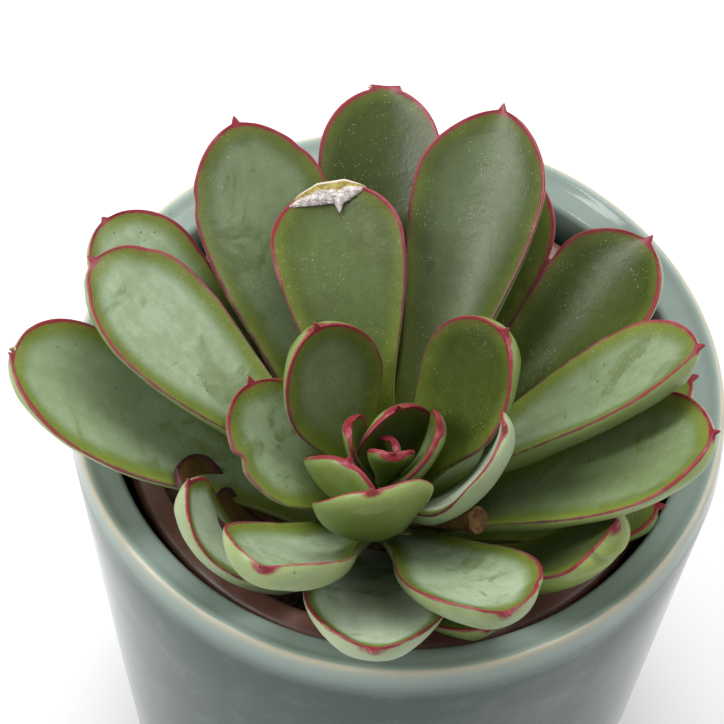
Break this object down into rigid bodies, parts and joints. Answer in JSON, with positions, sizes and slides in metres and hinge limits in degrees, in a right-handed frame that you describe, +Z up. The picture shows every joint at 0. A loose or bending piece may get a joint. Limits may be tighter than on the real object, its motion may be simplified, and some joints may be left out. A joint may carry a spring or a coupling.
{
  "type": "potted succulent",
  "caption": "Rosette succulent with thick red-edged green leaves in a plastic nursery pot, standing in a tapered glazed ceramic cover pot.",
  "frame": {"origin": "centre of the cover pot's foot, on the surface that it stands on", "axes": "+Z up; -Y towards the viewer of the front view, the side to which the rosette leans; +X to the right"},
  "size_m": [0.1407, 0.1375, 0.1678],
  "materials": {
    "glaze": "glossy celadon glaze with a bare cream line round the rim",
    "nursery_plastic": "satin reddish brown",
    "soil": "rough dark potting soil",
    "stem": "matt, ringed with leaf scars",
    "leaf": "waxy sage green with a pale bloom and a thin red margin",
    "heart_leaf": "waxy young green with red margins",
    "dry_leaf": "papery reddish brown",
    "flower_stub": "dry straw brown"
  },
  "bodies": {
    "root": {"cover_pot": "glaze", "nursery_pot": "nursery_plastic", "soil": "soil", "stem": "stem", "lower_leaf_1": "leaf", "lower_leaf_2": "leaf", "lower_leaf_3": "leaf", "lower_leaf_4": "leaf", "lower_leaf_5": "leaf", "lower_leaf_6": "leaf", "lower_leaf_7": "leaf", "lower_leaf_8": "leaf", "lower_leaf_9": "leaf", "lower_leaf_10": "leaf", "middle_leaf_1": "leaf", "middle_leaf_2": "leaf", "middle_leaf_3": "leaf", "middle_leaf_4": "leaf", "middle_leaf_5": "leaf", "middle_leaf_6": "leaf", "middle_leaf_7": "leaf", "upper_leaf_1": "leaf", "upper_leaf_2": "leaf", "upper_leaf_3": "leaf", "upper_leaf_4": "leaf", "upper_leaf_5": "leaf", "upper_leaf_6": "leaf", "upper_leaf_7": "leaf", "heart": "heart_leaf", "dry_leaves": "dry_leaf", "flower_stub": "flower_stub"}
  },
  "joints": []
}
